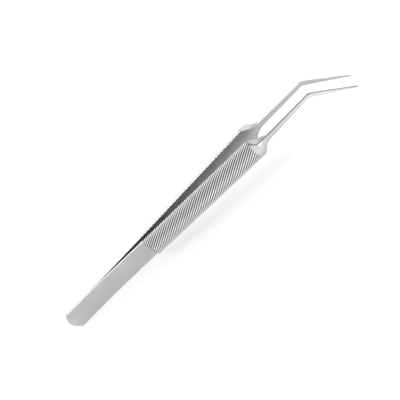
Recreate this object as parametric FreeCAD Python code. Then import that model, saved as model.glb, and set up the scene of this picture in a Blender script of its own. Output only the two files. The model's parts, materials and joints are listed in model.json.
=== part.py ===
import FreeCAD, Part
import math
import os

from FreeCAD import Vector

# Capsulorhexis forceps: two one-piece spring arms, welded face to face at the butt.
# Sizes are in millimetres and degrees. The instrument's own axes are X from the butt
# to the tips, Z across the width of the leaves, and Y in the direction of opening.
# The left arm lies towards +Y, and the right arm is its mirror image.

# Spring leaf
LEAF_WIDTH = 7.0
LEAF_THICKNESS = 0.53
BUTT_BULGE = 1.67
BUTT_CORNER_RADIUS = 0.6
WELD_LENGTH = 8.0
BOW_LENGTH = 14.0
STRAIGHT_LENGTH = 11.3
OPENING_HALF_ANGLE = 2.2

# Half-round grip, as wide as the leaf at its rear end
GRIP_LENGTH = 42.9
GRIP_FRONT_RADIUS = 3.7
GRIP_RAMP_ANGLE = 60.0

# Diamond knurl, from one point to the next
KNURL_DEPTH = 0.24
KNURL_PITCH_ALONG = 1.25
KNURL_PITCH_AROUND = 0.76

# Shoulder between the grip and the shank: its crown, and its sides, which lean inwards
# and begin to fall later at the crown than at the inner face
SHOULDER_STEP = 0.1
CROWN_RUN = 1.8
CROWN_SLOPE = 45.0
CROWN_CORNER_RADIUS = 1.2
CROWN_HOLLOW_RADIUS = 4.0
SIDE_LEAN = 0.8
SIDE_LAG = 0.95
SIDE_RUN = 0.3
SIDE_SLOPE = 40.0
SIDE_CORNER_RADIUS = 0.6
SIDE_HOLLOW_RADIUS = 6.0

# Shank and bent tip: half of each width, and the height of the flat side walls
NECK_HALF_WIDTH = 0.9
NECK_WALL = 1.1
SHANK_LENGTH = 14.6
BEND_HALF_WIDTH = 0.66
BEND_WALL = 0.66
BEND_RADIUS = 2.0
BEND_ANGLE = 46.0
TIP_LENGTH = 14.2
TIP_HALF_WIDTH = 0.2
TIP_WALL = 0.24

GRIP_REAR_RADIUS = LEAF_WIDTH / 2
SWING_CENTRE = WELD_LENGTH + BOW_LENGTH / 2
GRIP_START = WELD_LENGTH + BOW_LENGTH + STRAIGHT_LENGTH
GRIP_END = GRIP_START + GRIP_LENGTH
SHOULDER_RADIUS = GRIP_FRONT_RADIUS - SHOULDER_STEP
NECK_CROWN = math.hypot(NECK_HALF_WIDTH, NECK_WALL)
X_AXIS = Vector(1, 0, 0)
Y_AXIS = Vector(0, 1, 0)
Z_AXIS = Vector(0, 0, 1)


def tan(angle):
    return math.tan(math.radians(angle))


def swung(shape):
    """Swing a shape that lies along X out to the slope of the grip."""
    turned = shape.copy()
    turned.rotate(Vector(SWING_CENTRE, 0, 0), Z_AXIS, OPENING_HALF_ANGLE)
    return turned


def rounded_path(points, radii):
    """Edges from the first point to the last, with an arc at each corner between them."""
    edges = []
    start = points[0]
    for before, corner, after, radius in zip(points, points[1:], points[2:], radii):
        back = (before - corner).normalize()
        ahead = (after - corner).normalize()
        half_turn = (math.pi - back.getAngle(ahead)) / 2
        arc_start = corner + back * (radius * math.tan(half_turn))
        arc_end = corner + ahead * (radius * math.tan(half_turn))
        inward = (back + ahead).normalize()
        arc_middle = corner + inward * (radius / math.cos(half_turn) - radius)
        edges.append(Part.makeLine(start, arc_start))
        edges.append(Part.Arc(arc_start, arc_middle, arc_end).toShape())
        start = arc_end
    edges.append(Part.makeLine(start, points[-1]))
    return edges


def filled(edges):
    """Flat face inside a closed loop of edges, given in any order."""
    return Part.Face(Part.Wire(Part.__sortEdges__(edges)))


def leaf():
    """Thin spring strip: flat at the weld, then bowed out to the slope of the grip."""
    swing_point = Vector(SWING_CENTRE, 0, 0)
    outer_shift = LEAF_THICKNESS * tan(OPENING_HALF_ANGLE / 2)
    outer_corner = Vector(SWING_CENTRE - outer_shift, LEAF_THICKNESS, 0)
    inner_end = swung(Part.Vertex(GRIP_START, 0, 0)).Point
    outer_end = swung(Part.Vertex(GRIP_START, LEAF_THICKNESS, 0)).Point
    bow_radius = BOW_LENGTH / 2 / tan(OPENING_HALF_ANGLE / 2)
    butt_inner = Vector(0, 0, 0)
    butt_outer = Vector(0, LEAF_THICKNESS, 0)
    inner = rounded_path([butt_inner, swing_point, inner_end], [bow_radius])
    outer = rounded_path([butt_outer, outer_corner, outer_end], [bow_radius - LEAF_THICKNESS])
    ends = [Part.makeLine(butt_inner, butt_outer), Part.makeLine(inner_end, outer_end)]
    strip = filled(inner + outer + ends).extrude(Z_AXIS * LEAF_WIDTH)
    strip.translate(Z_AXIS * (-LEAF_WIDTH / 2))
    return strip.common(leaf_outline())


def butt_arc_radius():
    return (LEAF_WIDTH ** 2 / 4 + BUTT_BULGE ** 2) / (2 * BUTT_BULGE)


def leaf_outline():
    """Block with the leaf's outline: a broad arc at the butt, with rounded corners."""
    half = LEAF_WIDTH / 2
    far_x = GRIP_START + LEAF_WIDTH
    low = Vector(BUTT_BULGE, 0, -half)
    high = Vector(BUTT_BULGE, 0, half)
    far_low = Vector(far_x, 0, -half)
    far_high = Vector(far_x, 0, half)
    arc = Part.Arc(low, Vector(0, 0, 0), high).toShape()
    sides = Part.makePolygon([high, far_high, far_low, low]).Edges
    block = filled([arc] + sides).extrude(Y_AXIS * LEAF_WIDTH)
    block.translate(Y_AXIS * (-LEAF_WIDTH / 2))
    corners = [edge for edge in block.Edges if is_butt_corner(edge)]
    return block.makeFillet(BUTT_CORNER_RADIUS, corners)


def is_butt_corner(edge):
    on_corner = [abs(vertex.Point.x - BUTT_BULGE) < 1e-6 for vertex in edge.Vertexes]
    return isinstance(edge.Curve, Part.Line) and all(on_corner)


def knurl_corner(along, around, is_point):
    """Corner of the knurl: points stand at the grip's radius, and grooves cross below it."""
    radius = GRIP_REAR_RADIUS + (GRIP_FRONT_RADIUS - GRIP_REAR_RADIUS) * along
    if not is_point:
        radius -= KNURL_DEPTH
    angle = math.pi * around
    x = GRIP_START + GRIP_LENGTH * along
    return Vector(x, radius * math.sin(angle), radius * math.cos(angle))


def knurled_bar():
    """Half-round bar whose round side carries rows of four-sided points between grooves."""
    rows = 2 * round(GRIP_LENGTH / KNURL_PITCH_ALONG)
    columns = 2 * round(math.pi * GRIP_FRONT_RADIUS / KNURL_PITCH_AROUND)
    net = [[knurl_corner(i / rows, j / columns, (i + j) % 2) for j in range(columns + 1)]
           for i in range(rows + 1)]
    inner = [row[0] for row in net] + [row[-1] for row in reversed(net)]
    loops = [net[0], net[-1], inner]
    for i in range(rows):
        for j in range(columns):
            ring = [net[i][j], net[i + 1][j], net[i + 1][j + 1], net[i][j + 1]]
            low = (i + j) % 2
            loops.append([ring[low], ring[low + 1], ring[low + 2]])
            loops.append([ring[low], ring[low + 2], ring[(low + 3) % 4]])
    shell = Part.makeShell([Part.Face(Part.makePolygon(loop + loop[:1])) for loop in loops])
    shell.sewShape()
    return Part.makeSolid(shell)


def grip():
    """Knurled bar that widens a little forwards, with a plain ramp at its rear end."""
    rise = max(GRIP_REAR_RADIUS, GRIP_FRONT_RADIUS) - LEAF_THICKNESS
    depth = 2 * (rise + LEAF_THICKNESS)
    foot = Vector(GRIP_START, LEAF_THICKNESS, -depth / 2)
    ramp_top = foot + Vector(rise / tan(GRIP_RAMP_ANGLE), rise, 0)
    above_foot = foot + Y_AXIS * rise
    wedge = filled(Part.makePolygon([foot, ramp_top, above_foot, foot]).Edges)
    return knurled_bar().cut(wedge.extrude(Z_AXIS * depth))


def falling_line(start_height, end_height, run, slope):
    """Corners of a line that runs level from the grip, falls, and runs level to the neck."""
    fall_start = GRIP_END + run
    fall_end = fall_start + (start_height - end_height) / tan(slope)
    return [(GRIP_END, start_height), (fall_start, start_height),
            (fall_end, end_height), (neck_x(), end_height)]


def neck_x():
    """Where the shoulder's hollows have run out and the shank begins."""
    crown_end = CROWN_RUN + (SHOULDER_RADIUS - NECK_CROWN) / tan(CROWN_SLOPE)
    inner_end = SIDE_RUN + (SHOULDER_RADIUS - NECK_HALF_WIDTH) / tan(SIDE_SLOPE)
    outer_end = inner_end + SIDE_LAG - SIDE_LEAN / tan(SIDE_SLOPE)
    side_end = max(inner_end, outer_end)
    crown_hollow = CROWN_HOLLOW_RADIUS * tan(CROWN_SLOPE / 2)
    side_hollow = SIDE_HOLLOW_RADIUS * tan(SIDE_SLOPE / 2)
    return GRIP_END + max(crown_end + crown_hollow, side_end + side_hollow) + NECK_HALF_WIDTH / 2


def side_outline(height):
    """Outline of the shoulder's two sides, at a height above its inner face."""
    share = height / SHOULDER_RADIUS
    half_width = SHOULDER_RADIUS - SIDE_LEAN * share
    run = SIDE_RUN + SIDE_LAG * share
    side = falling_line(half_width, NECK_HALF_WIDTH, run, SIDE_SLOPE)
    radii = [SIDE_CORNER_RADIUS, SIDE_HOLLOW_RADIUS]
    upper = [Vector(x, height, z) for x, z in side]
    lower = [Vector(x, height, -z) for x, z in reversed(side)]
    front = Part.makeLine(upper[-1], lower[0])
    rear = Part.makeLine(lower[-1], upper[0])
    lines = rounded_path(upper, radii) + [front] + rounded_path(lower, radii[::-1]) + [rear]
    return Part.Wire(lines)


def shoulder():
    """Turned shoulder, cut at both sides by faces that lead into the shank."""
    crown = falling_line(SHOULDER_RADIUS, NECK_CROWN, CROWN_RUN, CROWN_SLOPE)
    crown_edges = rounded_path([Vector(x, r, 0) for x, r in crown],
                               [CROWN_CORNER_RADIUS, CROWN_HOLLOW_RADIUS])
    base = Part.makePolygon([crown_edges[-1].Vertexes[-1].Point, Vector(neck_x(), 0, 0),
                             Vector(GRIP_END, 0, 0), Vector(GRIP_END, SHOULDER_RADIUS, 0)])
    turned = filled(crown_edges + base.Edges).revolve(Vector(0, 0, 0), X_AXIS, 360)
    sides = Part.makeLoft([side_outline(0), side_outline(SHOULDER_RADIUS)], True, True)
    return turned.common(sides)


def section(half_width, wall, x):
    """Half-round section with flat side walls, across X at the given place."""
    low_inner = Vector(x, 0, -half_width)
    low_outer = Vector(x, wall, -half_width)
    high_outer = Vector(x, wall, half_width)
    high_inner = Vector(x, 0, half_width)
    crown = Part.Arc(low_outer, Vector(x, math.hypot(half_width, wall), 0), high_outer)
    sides = [Part.makeLine(low_inner, low_outer), Part.makeLine(high_outer, high_inner)]
    return Part.Wire([sides[0], crown.toShape(), sides[1], Part.makeLine(high_inner, low_inner)])


def shank_offset():
    """Distance of the shank's inner face from the plane between the arms."""
    return (neck_x() - SWING_CENTRE) * math.sin(math.radians(OPENING_HALF_ANGLE))


def shank_and_tip():
    """Tapering shank, parallel to the other arm's, a short bend and the needle tip."""
    bend_x = neck_x() + SHANK_LENGTH
    bend_centre = Vector(bend_x, 0, -BEND_RADIUS)
    neck = swung(section(NECK_HALF_WIDTH, NECK_WALL, neck_x()))
    bend_start = section(BEND_HALF_WIDTH, BEND_WALL, bend_x)
    tip_end = section(TIP_HALF_WIDTH, TIP_WALL, bend_x + TIP_LENGTH)
    for wire in (bend_start, tip_end):
        wire.translate(Y_AXIS * shank_offset())
    bend_end = bend_start.copy()
    for wire in (bend_end, tip_end):
        wire.rotate(bend_centre, Y_AXIS, BEND_ANGLE)
    shank = Part.makeLoft([neck, bend_start], True, True)
    bend = Part.Face(bend_start).revolve(bend_centre, Y_AXIS, BEND_ANGLE)
    tip = Part.makeLoft([bend_end, tip_end], True, True)
    return shank.fuse([bend, tip])


def tip_foot():
    """Lowest point of the tip, in the plane of the bend."""
    turn = math.radians(BEND_ANGLE)
    along = Vector(math.cos(turn), 0, -math.sin(turn))
    below = Vector(-math.sin(turn), 0, -math.cos(turn))
    bend_centre = Vector(neck_x() + SHANK_LENGTH, 0, -BEND_RADIUS)
    return bend_centre + along * TIP_LENGTH - below * (BEND_RADIUS - TIP_HALF_WIDTH)


def rest_tilt():
    """Slope at which the butt's lower corner and the tips stand on one plane."""
    corner_z = BUTT_CORNER_RADIUS - LEAF_WIDTH / 2
    reach = butt_arc_radius() - BUTT_CORNER_RADIUS
    corner_x = butt_arc_radius() - math.sqrt(reach ** 2 - corner_z ** 2)
    line = tip_foot() - Vector(corner_x, 0, corner_z)
    return math.degrees(math.atan2(-line.z, line.x) - math.asin(BUTT_CORNER_RADIUS / line.Length))


def left_arm():
    return leaf().fuse([swung(grip()), swung(shoulder()), shank_and_tip()]).removeSplitter()


def tilted(shape):
    """Tilt a shape about the butt to the slope at which the instrument stands."""
    turned = shape.copy()
    turned.rotate(Vector(0, 0, 0), Y_AXIS, -rest_tilt())
    return turned


def main():
    os.makedirs("parts", exist_ok=True)
    left = tilted(left_arm())
    ground = Vector(left.BoundBox.Center.x, 0, left.BoundBox.ZMin)
    left.translate(-ground)
    right = left.mirror(Vector(0, 0, 0), Y_AXIS)
    left.exportStep("parts/left_arm.step")
    right.exportStep("parts/right_arm.step")


main()
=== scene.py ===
import json
import math
from functools import partial

import bmesh
import bpy
import numpy as np
from mathutils import Matrix, Vector

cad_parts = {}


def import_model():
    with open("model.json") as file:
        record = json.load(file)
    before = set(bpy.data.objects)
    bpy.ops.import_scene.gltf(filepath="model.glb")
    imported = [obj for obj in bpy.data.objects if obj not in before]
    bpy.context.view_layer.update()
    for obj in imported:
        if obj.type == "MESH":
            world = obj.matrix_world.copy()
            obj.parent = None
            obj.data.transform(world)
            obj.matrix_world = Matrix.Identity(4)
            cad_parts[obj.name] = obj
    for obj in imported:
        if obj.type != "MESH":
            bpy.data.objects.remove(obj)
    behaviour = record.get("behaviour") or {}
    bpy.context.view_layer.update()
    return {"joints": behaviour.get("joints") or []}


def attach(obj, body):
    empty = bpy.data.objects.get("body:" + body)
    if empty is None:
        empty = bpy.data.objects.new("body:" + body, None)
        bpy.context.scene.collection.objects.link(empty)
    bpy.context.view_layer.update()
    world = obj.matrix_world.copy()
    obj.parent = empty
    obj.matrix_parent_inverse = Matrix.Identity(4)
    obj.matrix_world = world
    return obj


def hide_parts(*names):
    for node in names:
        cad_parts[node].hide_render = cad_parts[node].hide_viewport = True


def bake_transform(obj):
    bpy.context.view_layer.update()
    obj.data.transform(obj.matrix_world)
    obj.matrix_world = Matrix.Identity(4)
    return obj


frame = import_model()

# Dimensions in millimetres and degrees, as in the CAD source
LEAF_WIDTH = 7.0
LEAF_THICKNESS = 0.53
BUTT_BULGE = 1.67
BUTT_CORNER_RADIUS = 0.6
WELD_LENGTH = 8.0
BOW_LENGTH = 14.0
STRAIGHT_LENGTH = 11.3
OPENING_HALF_ANGLE = 2.2
GRIP_LENGTH = 42.9
GRIP_FRONT_RADIUS = 3.7
GRIP_RAMP_ANGLE = 60.0
KNURL_DEPTH = 0.24
KNURL_PITCH_ALONG = 1.25
KNURL_PITCH_AROUND = 0.76
SHOULDER_STEP = 0.1
CROWN_RUN = 1.8
CROWN_SLOPE = 45.0
CROWN_CORNER_RADIUS = 1.2
CROWN_HOLLOW_RADIUS = 4.0
SIDE_LEAN = 0.8
SIDE_LAG = 0.95
SIDE_RUN = 0.3
SIDE_SLOPE = 40.0
SIDE_CORNER_RADIUS = 0.6
SIDE_HOLLOW_RADIUS = 6.0
NECK_HALF_WIDTH = 0.9
NECK_WALL = 1.1
SHANK_LENGTH = 14.6
BEND_HALF_WIDTH = 0.66
BEND_WALL = 0.66
BEND_RADIUS = 2.0
BEND_ANGLE = 46.0
TIP_LENGTH = 14.2
TIP_HALF_WIDTH = 0.2
TIP_WALL = 0.24

# What the finished skin adds, in millimetres or as a share
SKIN_INSET = 0.012          # how far it lies inside the nominal one
KNURL_FLAT = 0.75           # share of the way between two grooves where the flat top starts
SHALLOW_FLOOR = 0.6         # height of the floor of the shallower family of grooves
INNER_EDGE = 0.05           # softening of the inner face's edges
CROWN_EDGE = 0.27           # rounding between the side walls and the crown
LEAF_EDGE = 0.09
LEAF_LAP = 0.3              # how far the leaf runs into the grip
STRAIGHTENING = 3.0         # length over which the shank turns parallel to the other arm's
BLUNT_START = 0.98          # share of the tip's length where its end begins to round off
BLUNT_REACH = 0.021         # share of the tip's length on which it would round off to nothing

# Fineness of the meshes
KNURL_STEPS = 4             # steps from a groove to the middle of a diamond
WALL_COLUMNS = 5
EDGE_COLUMNS = 7
INNER_COLUMNS = 8
SHOULDER_SPACING = 0.1
SHANK_ROWS = 37
BEND_ROWS = 17
TIP_ROWS = 48
BLUNT_ROWS = 10
LEAF_HALF_COLUMNS = 20
LEAF_CROWDING = 0.25        # how much the leaf's columns crowd towards its edges
LEAF_ROWS = [0, 0.004, 0.012, 0.03, *np.linspace(0.05, 1, 60)]
LEAF_EDGE_STEPS = 3
SHARP_ANGLE = 24.0

# Painted shade and painted highlights, in millimetres or as shares: 0 leaves the steel as it is
HIGHLIGHT_SHARE = 0.4             # share of the knurl's depth, from the tops, that gets a painted highlight
LINE_WIDTH = 0.11           # painted dark line between the side walls and the crown, standing in for a dark reflection
THIN_LINE = 0.55            # its least width, towards the tip, as a share
LOWER_LINE = 2              # how many times wider it is along the lower edge
# painted shade on the side walls
WALL_SHADE = 0.2
# painted highlight on the crown, at places along the arm
CROWN_HIGHLIGHT = [0.5, 0.35, 0.3, 0.7, 0.9]
CROWN_FADE = 0.2            # distance past the line over which the crown's painted highlight grows
CROWN_TURN = 0.7            # how far down its lower half the crown keeps its painted highlight
FACE_MARGIN = 0.02          # the inner face has no painted shade or highlight, up to this height above it
# colours that the painted shade and the painted highlight mix towards
SHADE_LEVEL, HIGHLIGHT_LEVEL = 0.02, 0.92

GRIP_REAR_RADIUS = LEAF_WIDTH / 2
SWING_CENTRE = WELD_LENGTH + BOW_LENGTH / 2
GRIP_START = WELD_LENGTH + BOW_LENGTH + STRAIGHT_LENGTH
GRIP_END = GRIP_START + GRIP_LENGTH
SHOULDER_RADIUS = GRIP_FRONT_RADIUS - SHOULDER_STEP
NECK_CROWN = math.hypot(NECK_HALF_WIDTH, NECK_WALL)
HALF_SWING = math.radians(OPENING_HALF_ANGLE)
BOW_RADIUS = BOW_LENGTH / 2 / math.tan(HALF_SWING / 2)


def tan(angle):
    return math.tan(math.radians(angle))


# The arm is first built straight: X along it, Y outwards from its flat inner face, and
# Z across the leaf. Rows of points across it are joined into one closed skin.

def falling(place, start, end, run, slope, corner, hollow):
    """Height of a shoulder line at a place in front of the grip: it falls from start to end."""
    fall = (start - end) / tan(slope)
    x = place - run
    corner_reach = corner * tan(slope / 2)
    hollow_reach = hollow * tan(slope / 2)
    cosine = math.cos(math.radians(slope))
    if x < -corner_reach:
        return start
    if x < corner_reach * cosine:
        return start - corner + math.sqrt(corner ** 2 - (x + corner_reach) ** 2)
    if x < fall - hollow_reach * cosine:
        return start - x * tan(slope)
    if x < fall + hollow_reach:
        return end + hollow - math.sqrt(hollow ** 2 - (fall + hollow_reach - x) ** 2)
    return end


def crown_radius(place):
    return falling(place, SHOULDER_RADIUS, NECK_CROWN, CROWN_RUN, CROWN_SLOPE,
                   CROWN_CORNER_RADIUS, CROWN_HOLLOW_RADIUS)


def side_reach(place, height):
    """Half of the shoulder's width at a height above its inner face.

    Its sides lean inwards, and fall later at the crown than at the inner face."""
    share = height / SHOULDER_RADIUS
    return falling(place, SHOULDER_RADIUS - SIDE_LEAN * share, NECK_HALF_WIDTH,
                   SIDE_RUN + SIDE_LAG * share, SIDE_SLOPE,
                   SIDE_CORNER_RADIUS, SIDE_HOLLOW_RADIUS)


def shoulder_length():
    """Length of the shoulder, up to where all of its hollows have run out."""
    crown_end = CROWN_RUN + (SHOULDER_RADIUS - NECK_CROWN) / tan(CROWN_SLOPE)
    inner_end = SIDE_RUN + (SHOULDER_RADIUS - NECK_HALF_WIDTH) / tan(SIDE_SLOPE)
    side_end = max(inner_end, inner_end + SIDE_LAG - SIDE_LEAN / tan(SIDE_SLOPE))
    crown_hollow = CROWN_HOLLOW_RADIUS * tan(CROWN_SLOPE / 2)
    side_hollow = SIDE_HOLLOW_RADIUS * tan(SIDE_SLOPE / 2)
    return max(crown_end + crown_hollow, side_end + side_hollow) + NECK_HALF_WIDTH / 2


NECK = GRIP_END + shoulder_length()
KNURL_ROWS = 2 * round(GRIP_LENGTH / KNURL_PITCH_ALONG) * KNURL_STEPS
COLUMNS = 2 * round(math.pi * GRIP_FRONT_RADIUS / KNURL_PITCH_AROUND) * KNURL_STEPS


def grip_radius(share):
    """Radius over the knurl's tops, at a share of the grip's length."""
    return GRIP_REAR_RADIUS + (GRIP_FRONT_RADIUS - GRIP_REAR_RADIUS) * share


def groove_heights(row, column):
    """Heights that the deep and the shallow family of slanting grooves leave, from 0 to 1."""
    distances = []
    for lines in (row + column, row - column):
        part = np.mod(lines / KNURL_STEPS, 2)
        distances.append(np.minimum(part, 2 - part))
    deep, shallow = distances
    return deep, SHALLOW_FLOOR + (1 - SHALLOW_FLOOR) * shallow


def knurled_row(row):
    """Outer points across the grip, from its upper edge to its lower edge."""
    column = np.arange(COLUMNS + 1)
    rise = np.minimum(np.minimum(*groove_heights(row, column)) / KNURL_FLAT, 1)
    reach = grip_radius(row / KNURL_ROWS) - SKIN_INSET - KNURL_DEPTH * (1 - rise)
    if row == KNURL_ROWS:
        reach = np.maximum(reach, SHOULDER_RADIUS)
    angle = np.pi * column / COLUMNS
    return np.stack([reach * np.sin(angle), reach * np.cos(angle)], -1)


def wall_height(crown, half_width):
    """Height at which a side wall meets the round crown, found by halving."""
    low, high = 0, crown
    for _ in range(40):
        height = (low + high) / 2
        if math.hypot(height, half_width(height)) < crown:
            low = height
        else:
            high = height
    return height


def plain_row(crown, half_width):
    """Outer points of a section with softened inner edges, side walls and a round crown.

    The half width is a function of the height above the inner face."""
    wall = wall_height(crown, half_width)
    soft = min(INNER_EDGE, half_width(0) / 5, wall / 5)
    rounding = min(CROWN_EDGE, 0.4 * wall)
    side = [(0, half_width(0) - soft)]
    for height in np.linspace(soft, wall - rounding, WALL_COLUMNS):
        side.append((height, half_width(height)))
    corner = math.atan2(wall, half_width(wall)) + rounding / crown
    edge = np.array([side[-1], (wall, half_width(wall)),
                     (crown * math.sin(corner), crown * math.cos(corner))])
    for share in np.arange(1, EDGE_COLUMNS) / EDGE_COLUMNS:
        side.append((1 - share) ** 2 * edge[0] + 2 * share * (1 - share) * edge[1]
                    + share ** 2 * edge[2])
    side = np.array(side)
    angle = np.linspace(corner, np.pi - corner, COLUMNS + 1 - 2 * len(side))
    arc = crown * np.stack([np.sin(angle), np.cos(angle)], -1)
    return np.concatenate([side, arc, side[::-1] * [1, -1]])


def straight_sided(half_width, wall):
    return plain_row(math.hypot(half_width, wall), lambda height: half_width)


def bar_sections():
    """Places along the arm from the grip to the tip, with the outer points at each."""
    rows = []
    for row in range(KNURL_ROWS + 1):
        rows.append((GRIP_START + GRIP_LENGTH * row / KNURL_ROWS, knurled_row(row)))
    for place in np.arange(0, NECK - GRIP_END - SHOULDER_SPACING / 2, SHOULDER_SPACING):
        rows.append((GRIP_END + place,
                     plain_row(crown_radius(place), partial(side_reach, place))))
    for share in np.linspace(0, 1, SHANK_ROWS):
        half = NECK_HALF_WIDTH + (BEND_HALF_WIDTH - NECK_HALF_WIDTH) * share
        wall = NECK_WALL + (BEND_WALL - NECK_WALL) * share
        rows.append((NECK + SHANK_LENGTH * share, straight_sided(half, wall)))
    bend = BEND_RADIUS * math.radians(BEND_ANGLE)
    for share in np.linspace(0, 1, BEND_ROWS)[1:]:
        rows.append((NECK + SHANK_LENGTH + bend * share,
                     straight_sided(BEND_HALF_WIDTH, BEND_WALL)))
    for share in [*np.linspace(0, BLUNT_START, TIP_ROWS)[1:],
                  *np.linspace(BLUNT_START + 0.002, 1, BLUNT_ROWS)]:
        blunt = math.sqrt(1 - max(0, share - BLUNT_START) ** 2 / BLUNT_REACH ** 2)
        half = BEND_HALF_WIDTH + (TIP_HALF_WIDTH - BEND_HALF_WIDTH) * share
        wall = BEND_WALL + (TIP_WALL - BEND_WALL) * share
        rows.append((NECK + SHANK_LENGTH + bend + TIP_LENGTH * share,
                     straight_sided(half * blunt, wall * blunt)))
    return rows


SECTIONS = bar_sections()
CROWN_LINE = np.array([(place, *points[WALL_COLUMNS + EDGE_COLUMNS // 2])
                       for place, points in SECTIONS[KNURL_ROWS + 1:]])


def with_inner(outer):
    """Closed section: the outer points, then points back across the flat inner face."""
    share = np.arange(1, INNER_COLUMNS)[:, None] / INNER_COLUMNS
    return np.concatenate([outer, outer[-1] + (outer[0] - outer[-1]) * share])


def bar():
    """Closed skin of the grip, shoulder, shank and tip.

    Each quad is split along the groove that it lies nearer to."""
    sections = [(place, with_inner(points)) for place, points in SECTIONS]
    size = len(sections[0][1])
    points = [(x, y, z) for x, section in sections for y, z in section]
    row, column = np.divmod(np.arange((len(sections) - 1) * size), size)
    after = row * size + (column + 1) % size
    ring = np.stack([row * size + column, row * size + column + size, after + size, after])
    deep, shallow = groove_heights(row + 0.5, column + 0.5)
    first = np.where(deep < shallow, 1, 0)
    corners = np.stack([ring[(first + step) % 4, np.arange(len(row))] for step in range(4)], -1)
    faces = list(corners[:, [0, 1, 2]]) + list(corners[:, [0, 2, 3]])
    last = (len(sections) - 1) * size
    faces.append(range(size)[::-1])
    faces.append(range(last, last + size))
    return points, faces


def leaf_row(share, inset):
    """Points of the leaf's plan along one row, from the upper edge to the lower edge."""
    half = LEAF_WIDTH / 2 - inset
    arc_radius = (LEAF_WIDTH ** 2 / 4 + BUTT_BULGE ** 2) / (2 * BUTT_BULGE)
    corner = BUTT_CORNER_RADIUS
    corner_z = LEAF_WIDTH / 2 - corner
    corner_x = arc_radius - math.sqrt((arc_radius - corner) ** 2 - corner_z ** 2)
    turn = np.arange(-LEAF_HALF_COLUMNS, LEAF_HALF_COLUMNS + 1) / LEAF_HALF_COLUMNS
    z = half * np.sin(turn * np.pi / 2) * LEAF_CROWDING + half * turn * (1 - LEAF_CROWDING)
    touch = corner_z * arc_radius / (arc_radius - corner) * (1 - inset / arc_radius)
    on_arc = arc_radius - np.sqrt(np.maximum((arc_radius - inset) ** 2 - z ** 2, 0))
    off = np.clip((np.abs(z) - corner_z) / (corner - inset), 0, 1)
    on_corner = corner_x - (corner - inset) * np.sqrt(1 - off ** 2)
    start = np.where(np.abs(z) < touch, on_arc, on_corner)
    start = start + SKIN_INSET
    end = GRIP_START + LEAF_LAP
    return np.stack([start + (end - start) * share, -z], -1)


def leaf():
    """Closed skin of the leaf, with all of its edges rounded."""
    profile = []
    for step in range(LEAF_EDGE_STEPS + 1):
        turn = math.pi / 2 * step / LEAF_EDGE_STEPS
        profile.append((LEAF_EDGE * (1 - math.sin(turn)), LEAF_EDGE * (1 - math.cos(turn))))
    profile = profile + [(inset, LEAF_THICKNESS - y) for inset, y in profile[::-1]]
    sheets = []
    for inset, y in profile:
        rows = [leaf_row(share, inset) for share in LEAF_ROWS]
        sheets.append(np.array([[(x, y, z) for x, z in row] for row in rows]))
    row_count, width = sheets[0].shape[:2]
    cell = np.arange(row_count * width).reshape(row_count, width)
    rim = [*cell[0, :], *cell[1:, -1], *cell[-1, -2::-1], *cell[-2:0:-1, 0]]
    points = list(sheets[0].reshape(-1, 3))
    faces = []
    for row in range(row_count - 1):
        for column in range(width - 1):
            faces.append([cell[row, column], cell[row, column + 1],
                          cell[row + 1, column + 1], cell[row + 1, column]])
    loops = [rim]
    for sheet in sheets[1:-1]:
        loops.append(list(range(len(points), len(points) + len(rim))))
        points.extend(sheet.reshape(-1, 3)[rim])
    base = len(points)
    points.extend(sheets[-1].reshape(-1, 3))
    faces.extend([[base + i for i in face[::-1]] for face in faces[:]])
    loops.append([base + i for i in rim])
    for low, high in zip(loops, loops[1:]):
        for i in range(len(rim)):
            j = (i + 1) % len(rim)
            faces.append([low[j], low[i], high[i], high[j]])
    return points, faces


def new_piece(name, points, faces):
    mesh = bpy.data.meshes.new(name)
    mesh.from_pydata([tuple(map(float, point)) for point in points], [],
                     [list(map(int, face)) for face in faces])
    mesh.validate()
    made = bpy.data.objects.new(name, mesh)
    bpy.context.scene.collection.objects.link(made)
    return made


RAMP_NORMAL = Vector((-tan(GRIP_RAMP_ANGLE), 1, 0)).normalized()


def cut_ramp(piece):
    """Cut the grip's rear end to its plain ramp."""
    rule = bmesh.new()
    rule.from_mesh(piece.data)
    foot = Vector((GRIP_START, LEAF_THICKNESS, 0))
    everything = rule.verts[:] + rule.edges[:] + rule.faces[:]
    cut = bmesh.ops.bisect_plane(rule, geom=everything, plane_co=foot, plane_no=RAMP_NORMAL,
                                 dist=1e-5, clear_outer=True)
    rim = [item for item in cut["geom_cut"] if isinstance(item, bmesh.types.BMEdge)]
    bmesh.ops.holes_fill(rule, edges=rim, sides=0)
    bmesh.ops.recalc_face_normals(rule, faces=rule.faces[:])
    rule.to_mesh(piece.data)
    rule.free()


def joined(first, second):
    """One closed mesh from two that overlap."""
    union = first.modifiers.new("union", "BOOLEAN")
    union.operation = "UNION"
    union.solver = "EXACT"
    union.object = second
    graph = bpy.context.evaluated_depsgraph_get()
    mesh = bpy.data.meshes.new_from_object(first.evaluated_get(graph))
    for piece in (first, second):
        bpy.data.objects.remove(piece)
    return mesh


# Then it is bent: the leaf bows out from the weld, the shank turns back parallel to the
# other arm's, and the tip bends down.

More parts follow.
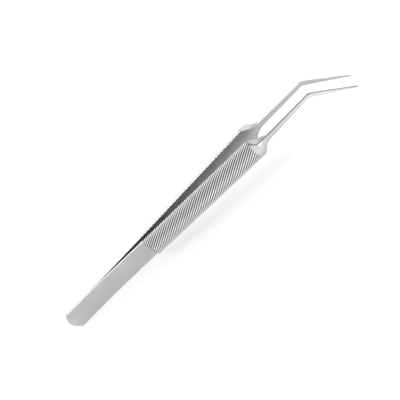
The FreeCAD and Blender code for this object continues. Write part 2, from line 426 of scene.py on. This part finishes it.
def bent(points):
    """The straight arm's points, bent to the shape that the sprung arm has."""
    x, y, z = points.T
    swing = np.clip((x - WELD_LENGTH) / BOW_LENGTH, 0, 1) * HALF_SWING
    past = np.maximum(x - WELD_LENGTH - BOW_LENGTH, 0)
    spine_x = np.minimum(x, WELD_LENGTH) + BOW_RADIUS * np.sin(swing) + past * math.cos(HALF_SWING)
    spine_y = BOW_RADIUS * (1 - np.cos(swing)) + past * math.sin(HALF_SWING)
    neck_x = SWING_CENTRE + (NECK - SWING_CENTRE) * math.cos(HALF_SWING)
    neck_y = (NECK - SWING_CENTRE) * math.sin(HALF_SWING)
    beyond = x - NECK
    straight = np.clip(beyond / STRAIGHTENING, 0, 1)
    swing = np.where(beyond > 0, HALF_SWING * (1 - straight), swing)
    stretch = (NECK + SHANK_LENGTH - neck_x) / SHANK_LENGTH
    spine_x = np.where(beyond > 0, neck_x + np.minimum(beyond, SHANK_LENGTH) * stretch, spine_x)
    spine_y = np.where(beyond > 0, neck_y, spine_y)
    full = math.radians(BEND_ANGLE)
    in_bend = np.maximum(beyond - SHANK_LENGTH, 0) / BEND_RADIUS
    turn = np.clip(in_bend, 0, full)
    tip = np.maximum(in_bend - full, 0) * BEND_RADIUS
    spine_x = spine_x + BEND_RADIUS * np.sin(turn) + tip * np.cos(turn)
    spine_z = BEND_RADIUS * (np.cos(turn) - 1) - tip * np.sin(turn)
    return np.stack([spine_x - y * np.sin(swing) + z * np.sin(turn),
                     spine_y + y * np.cos(swing),
                     spine_z + z * np.cos(turn)], -1)


JOINT = frame["joints"][0]
PIVOT = Vector(JOINT["pos_m"])
ACROSS = Vector(JOINT["axis"]).normalized()
ALONG = Vector((ACROSS.z, 0, -ACROSS.x))
OUTWARD = Vector((0, 1, 0))


def direction(x, y, z):
    return ALONG * x + OUTWARD * y + ACROSS * z


def to_row(x, y, z):
    """Point of the row frame, in metres, from one along the instrument, in millimetres."""
    return PIVOT + direction(x - SWING_CENTRE, y, z) / 1000


def knurl_painted_light(points):
    """Painted shade and highlight at the points of the grip: shade in the grooves, highlight on
    top.
    """
    x, y, z = points.T
    along = (x - GRIP_START) / GRIP_LENGTH
    below = (grip_radius(along) - SKIN_INSET - np.hypot(y, z)) / KNURL_DEPTH
    knurled = (along > 0.001) & (along < 0.999) & (y > FACE_MARGIN) & (below < 1.02)
    return (np.where(knurled, np.clip(below, 0, 1), 0),
            np.where(knurled, np.clip(1 - below / HIGHLIGHT_SHARE, 0, 1), 0))


def front_painted_light(points, line_shade):
    """Painted shade and highlight at the points in front of the grip.

    The side walls get painted shade, and more so a painted dark line between them and the
    crown, which fades out over as much again as its width. The crown has a painted highlight,
    most of all on its upper half."""
    x, y, z = points.T
    places, line_y, line_z = CROWN_LINE.T
    past_line = y - np.interp(x, places, line_y)
    line_z = np.interp(x, places, line_z)
    width = LINE_WIDTH * np.clip(line_z / NECK_HALF_WIDTH, THIN_LINE, 1)
    width = width * np.where(z < 0, LOWER_LINE, 1)
    line = line_shade * np.clip(2 - np.hypot(past_line, np.abs(z) - line_z) / width, 0, 1)
    wall = np.where((y > FACE_MARGIN) & (past_line < 0), WALL_SHADE, 0)
    stations = [GRIP_END + 0.5, GRIP_END + 4, NECK, NECK + SHANK_LENGTH, places[-1]]
    upwards = z / np.maximum(np.hypot(y, z), 0.01)
    crown = (np.interp(x, stations, CROWN_HIGHLIGHT) * np.clip(past_line / CROWN_FADE, 0, 1)
             * np.clip(CROWN_TURN + upwards, 0, 1))
    return np.maximum(line, wall), crown * (1 - line)


def painted_light(points, line_shade):
    """How much painted shade and painted highlight each point of the straight arm has, from 0 to
    1.
    """
    in_front = points[:, 0] > GRIP_END + 0.05
    return np.where(in_front, front_painted_light(points, line_shade), knurl_painted_light(points))


def ramp_corners(mesh):
    """Which corners of the straight arm's faces lie on the plain ramp."""
    normals = np.empty(len(mesh.polygons) * 3)
    mesh.polygons.foreach_get("normal", normals)
    corners = np.empty(len(mesh.polygons), int)
    mesh.polygons.foreach_get("loop_total", corners)
    return np.repeat(normals.reshape(-1, 3) @ np.array(RAMP_NORMAL) > 0.999, corners)


def arm(name, side, line_shade):
    """One arm, outwards along Y for side 1, with its painted shade and highlight at the corners of
    its faces.
    """
    front = new_piece("front", *bar())
    cut_ramp(front)
    mesh = joined(front, new_piece("rear", *leaf()))
    mesh.name = name
    straight = np.empty(len(mesh.vertices) * 3)
    mesh.vertices.foreach_get("co", straight)
    straight = straight.reshape(-1, 3)
    plain = ramp_corners(mesh)
    shaped = bent(straight) * [1, side, 1]
    turn = np.array([ALONG, OUTWARD, ACROSS])
    placed = (shaped - [SWING_CENTRE, 0, 0]) @ turn / 1000 + np.array(PIVOT)
    mesh.vertices.foreach_set("co", placed.ravel())
    if side < 0:
        mesh.flip_normals()
    mesh.update()
    at_corner = np.empty(len(mesh.loops), int)
    mesh.loops.foreach_get("vertex_index", at_corner)
    # painted shade and painted highlight, kept at the corners of the faces
    for kind, values in zip(("painted_shade", "painted_highlight"), painted_light(straight, line_shade)):
        layer = mesh.attributes.new(kind, "FLOAT", "CORNER")
        layer.data.foreach_set("value", np.where(plain, 0, values[at_corner]))
    mesh.polygons.foreach_set("use_smooth", [True] * len(mesh.polygons))
    mesh.set_sharp_from_angle(angle=math.radians(SHARP_ANGLE))
    piece = bpy.data.objects.new(name, mesh)
    bpy.context.scene.collection.objects.link(piece)
    return piece


# Materials

MIX_FIRST, MIX_SECOND, MIX_RESULT = 6, 7, 2     # colour sockets of a mix node


def node(tree, kind, **values):
    """New node, with its sockets and settings set by name."""
    made = tree.nodes.new(kind)
    for name, value in values.items():
        if name in made.inputs:
            made.inputs[name].default_value = value
        else:
            setattr(made, name, value)
    return made


def steel():
    """Satin, bead-blasted stainless steel with fine grain and faint clouds, plus painted shade and
    painted highlights.
    """
    material = bpy.data.materials.new("satin_steel")
    material.use_nodes = True
    tree = material.node_tree
    shader = tree.nodes["Principled BSDF"]
    shader.inputs["Metallic"].default_value = 1.0
    place = node(tree, "ShaderNodeTexCoord")
    clouds = node(tree, "ShaderNodeTexNoise", Scale=180.0, Detail=4.0, Roughness=0.6)
    grain = node(tree, "ShaderNodeTexNoise", Scale=9000.0, Detail=2.0, Roughness=0.5)
    for texture in (clouds, grain):
        tree.links.new(place.outputs["Object"], texture.inputs["Vector"])
    tint = node(tree, "ShaderNodeValToRGB")
    darker, lighter = tint.color_ramp.elements
    darker.position, darker.color = 0.3, (0.465, 0.472, 0.46, 1)
    lighter.position, lighter.color = 0.7, (0.525, 0.532, 0.52, 1)
    tree.links.new(clouds.outputs["Fac"], tint.inputs["Fac"])
    colour = tint.outputs["Color"]
    # painted shade and painted highlight mixed into the steel's colour
    for kind, level in (("painted_shade", SHADE_LEVEL), ("painted_highlight", HIGHLIGHT_LEVEL)):
        share = node(tree, "ShaderNodeAttribute", attribute_name=kind)
        mixed = node(tree, "ShaderNodeMix", data_type="RGBA")
        tree.links.new(share.outputs["Fac"], mixed.inputs["Factor"])
        tree.links.new(colour, mixed.inputs[MIX_FIRST])
        mixed.inputs[MIX_SECOND].default_value = (level, level, level, 1)
        colour = mixed.outputs[MIX_RESULT]
    tree.links.new(colour, shader.inputs["Base Color"])
    rough = node(tree, "ShaderNodeMapRange")
    rough.inputs["To Min"].default_value = 0.3
    rough.inputs["To Max"].default_value = 0.42
    tree.links.new(clouds.outputs["Fac"], rough.inputs["Value"])
    tree.links.new(rough.outputs["Result"], shader.inputs["Roughness"])
    bump = node(tree, "ShaderNodeBump", Strength=0.12, Distance=0.00002)
    tree.links.new(grain.outputs["Fac"], bump.inputs["Height"])
    tree.links.new(bump.outputs["Normal"], shader.inputs["Normal"])
    return material


# The painted dark line is fainter on the far, left arm than on the near, right arm
left = arm("left_arm_steel", side=1, line_shade=0.2)
right = arm("right_arm_steel", side=-1, line_shade=0.8)
finish = steel()
for piece, cad_node in ((left, "left_arm"), (right, "right_arm")):
    piece.data.materials.clear()
    piece.data.materials.append(finish)
    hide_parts(cad_node)
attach(left, "left")
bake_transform(right)


# Stage: lengths in metres, and the camera's in millimetres

FLOOR_REACH = 1.5
FLOOR_DROP = 0.0001
FLOOR_LIFT = 0.4
WORLD_LIGHT = 0.5
DARK_SIDE = Vector((-0.25, 0, 0.97))            # towards the world's darker part
DARK_REACH, DARK_CORE, DARK_LEVEL = 34, 18, 0.25

# From a fit of the instrument's edges in the photograph
CAMERA_AZIMUTH, CAMERA_ELEVATION, CAMERA_ROLL = 18.84, 38.73, -57.09
CAMERA_DISTANCE = 700.0
CAMERA_AIM = Vector((54, 0, -1))
PIXELS_PER_MM = 3.511
FRAME_PIXELS = 400
AIM_PIXEL = 197.722
SENSOR_WIDTH = 36


def shown_rays(tree):
    """1 for what the camera sees, directly, mirrored or through glass, and 0 for other light."""
    rays = node(tree, "ShaderNodeLightPath")
    last = rays.outputs["Is Camera Ray"]
    for kind in ("Is Glossy Ray", "Is Transmission Ray"):
        either = node(tree, "ShaderNodeMath", operation="MAXIMUM")
        tree.links.new(last, either.inputs[0])
        tree.links.new(rays.outputs[kind], either.inputs[1])
        last = either.outputs[0]
    return last


def floor():
    """Pale matt floor, lifted to white where it is seen."""
    mesh = bpy.data.meshes.new("floor")
    reach = FLOOR_REACH
    corners = [(-reach, -reach, 0), (reach, -reach, 0), (reach, reach, 0), (-reach, reach, 0)]
    mesh.from_pydata(corners, [], [(0, 1, 2, 3)])
    made = bpy.data.objects.new("floor", mesh)
    bpy.context.scene.collection.objects.link(made)
    made.location.z = -FLOOR_DROP
    material = bpy.data.materials.new("pale_floor")
    material.use_nodes = True
    tree = material.node_tree
    tree.nodes.clear()
    matt = node(tree, "ShaderNodeBsdfDiffuse", Color=(0.9, 0.9, 0.9, 1))
    lift = node(tree, "ShaderNodeEmission", Color=(1, 1, 1, 1))
    amount = node(tree, "ShaderNodeMath", operation="MULTIPLY")
    amount.inputs[1].default_value = FLOOR_LIFT
    tree.links.new(shown_rays(tree), amount.inputs[0])
    tree.links.new(amount.outputs[0], lift.inputs["Strength"])
    both = node(tree, "ShaderNodeAddShader")
    tree.links.new(matt.outputs[0], both.inputs[0])
    tree.links.new(lift.outputs[0], both.inputs[1])
    out = node(tree, "ShaderNodeOutputMaterial")
    tree.links.new(both.outputs[0], out.inputs["Surface"])
    made.data.materials.append(material)


def world():
    """White where it is seen or mirrored, but for one darker part, and softer as light."""
    made = bpy.data.worlds.new("studio")
    bpy.context.scene.world = made
    made.use_nodes = True
    tree = made.node_tree
    tree.nodes.clear()
    where = node(tree, "ShaderNodeTexCoord")
    toward = node(tree, "ShaderNodeVectorMath", operation="DOT_PRODUCT")
    tree.links.new(where.outputs["Generated"], toward.inputs[0])
    toward.inputs[1].default_value = DARK_SIDE.normalized()
    shade = node(tree, "ShaderNodeMapRange", interpolation_type="SMOOTHSTEP")
    shade.inputs["From Min"].default_value = math.cos(math.radians(DARK_REACH))
    shade.inputs["From Max"].default_value = math.cos(math.radians(DARK_CORE))
    shade.inputs["To Min"].default_value = 1.0
    shade.inputs["To Max"].default_value = DARK_LEVEL
    tree.links.new(toward.outputs["Value"], shade.inputs["Value"])
    strength = node(tree, "ShaderNodeMapRange")
    strength.inputs["To Min"].default_value = WORLD_LIGHT
    tree.links.new(shade.outputs["Result"], strength.inputs["To Max"])
    tree.links.new(shown_rays(tree), strength.inputs["Value"])
    glow = node(tree, "ShaderNodeBackground", Color=(1, 1, 1, 1))
    tree.links.new(strength.outputs["Result"], glow.inputs["Strength"])
    out = node(tree, "ShaderNodeOutputWorld")
    tree.links.new(glow.outputs[0], out.inputs["Surface"])


def lamp(name, energy, size, place):
    """Round soft lamp that faces the object."""
    data = bpy.data.lights.new(name, "AREA")
    data.shape = "DISK"
    data.size = size
    data.energy = energy
    made = bpy.data.objects.new(name, data)
    made.location = place
    made.rotation_euler = (-Vector(place)).to_track_quat("-Z", "Y").to_euler()
    bpy.context.scene.collection.objects.link(made)


def camera():
    azimuth, elevation, roll = map(math.radians,
                                   (CAMERA_AZIMUTH, CAMERA_ELEVATION, CAMERA_ROLL))
    back = Vector((math.sin(azimuth) * math.cos(elevation),
                   -math.cos(azimuth) * math.cos(elevation), math.sin(elevation)))
    level = Vector((math.cos(azimuth), math.sin(azimuth), 0))
    above = back.cross(level)
    right_way = level * math.cos(roll) + above * math.sin(roll)
    up_way = above * math.cos(roll) - level * math.sin(roll)
    data = bpy.data.cameras.new("camera")
    data.sensor_width = SENSOR_WIDTH
    data.lens = SENSOR_WIDTH * PIXELS_PER_MM * CAMERA_DISTANCE / FRAME_PIXELS
    data.shift_y = (AIM_PIXEL - FRAME_PIXELS / 2) / FRAME_PIXELS
    data.clip_start = 0.01
    data.clip_end = 20
    made = bpy.data.objects.new("camera", data)
    turn = Matrix([direction(*way) for way in (right_way, up_way, back)]).transposed()
    place = to_row(*(CAMERA_AIM + back * CAMERA_DISTANCE))
    made.matrix_world = Matrix.Translation(place) @ turn.to_4x4()
    bpy.context.scene.collection.objects.link(made)
    bpy.context.scene.camera = made


floor()
world()
lamp("key", energy=1.9, size=0.7, place=(-0.62, -0.05, 0.55))
lamp("back", energy=1.3, size=0.48, place=(-0.2, 0.6, 0.5))
lamp("far", energy=1.0, size=0.5, place=(0.33, 0.72, 0.2))
lamp("front", energy=1.0, size=0.5, place=(0.75, -0.08, 0.24))
camera()
bpy.context.scene.view_settings.view_transform = "Standard"
